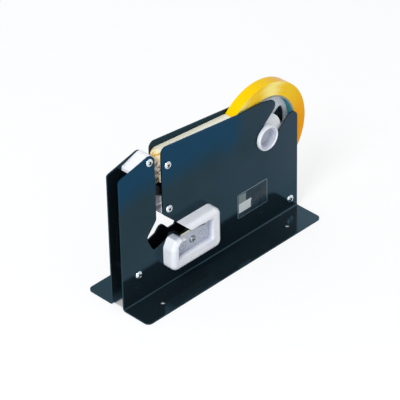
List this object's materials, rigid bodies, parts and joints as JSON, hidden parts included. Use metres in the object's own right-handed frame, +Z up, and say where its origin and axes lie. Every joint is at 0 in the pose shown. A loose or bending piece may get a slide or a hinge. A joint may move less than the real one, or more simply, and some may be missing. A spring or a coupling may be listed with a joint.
{
  "type": "bag neck sealer",
  "caption": "Counter-top device of two bent side plates that closes a bag's neck with tape from a roll as the neck is pushed down its slot, with a trimmer on the front",
  "frame": {"origin": "centre of the four foot holes, on the underside of the feet", "axes": "X along the side plates with the tape roll at +X, Y through the plates with the trimmer at -Y, Z up"},
  "size_m": [0.2372, 0.078, 0.1503],
  "materials": {
    "enamel": "glossy dark blue stoved enamel",
    "enamel_rear": "glossy dark blue stoved enamel",
    "zinc": "bright zinc plate",
    "zinc_rear": "bright zinc plate",
    "spacer": "turned",
    "spacer_far": "turned",
    "rest_white": "moulded, ribbed top",
    "guide_cream": "moulded",
    "guide_grey": "moulded",
    "knife_steel": "ground teeth",
    "lever_black": "moulded",
    "pin_paint": "painted over with the plates",
    "spring_steel": "drawn wire",
    "housing_white": "satin moulded",
    "blade_steel": "ground edge",
    "trimmer_screw_dark": "dark plated",
    "nut_zinc": "bright zinc plate",
    "spindle_white": "moulded",
    "cap_white": "moulded",
    "cap_white_rear": "moulded",
    "wheel_white": "moulded",
    "core_card": "wound card",
    "tape_yellow": "wound film, glossy tread and orange side",
    "tape_adhesive": "sticky side of the film, cream",
    "label_film": "bare film with a pale edge"
  },
  "bodies": {
    "frame": {"front_plate": "enamel", "rear_plate": "enamel_rear", "side_screws_front": "zinc", "side_screws_rear": "zinc_rear", "spacer_left": "spacer", "spacer_right": "spacer_far", "tape_rest": "rest_white", "tape_guide": "guide_cream", "neck_guide": "guide_grey", "tape_knife": "knife_steel", "lever_pin": "pin_paint", "lever_spring": "spring_steel", "trimmer_housing": "housing_white", "trimmer_blade": "blade_steel", "trimmer_screw": "trimmer_screw_dark", "trimmer_nut": "nut_zinc", "tape_strip": "tape_adhesive", "plate_label": "label_film"},
    "lever": {"press_lever": "lever_black"},
    "spindle": {"spindle_tube": "spindle_white", "spindle_cap_front": "cap_white", "spindle_cap_rear": "cap_white_rear"},
    "roll": {"hub_wheel": "wheel_white", "tape_core": "core_card", "tape_roll": "tape_yellow"}
  },
  "joints": [
    {"name": "lever_swing", "type": "hinge", "parent": "frame", "child": "lever", "pos_m": [-0.0919, 0, 0.0822], "axis": [0, 1, 0], "range_deg": [-26, 0], "stiffness_Nm_per_rad": 0.05, "springref_deg": 11.46, "deforming": ["lever_spring"]},
    {"name": "roll_lift", "type": "slide", "parent": "frame", "child": "spindle", "axis": [0.749, 0, 0.6626], "range_m": [0, 0.045]},
    {"name": "roll_spin", "type": "hinge", "parent": "spindle", "child": "roll", "pos_m": [0.0712, 0, 0.0968], "axis": [0, 1, 0], "continuous": true}
  ]
}
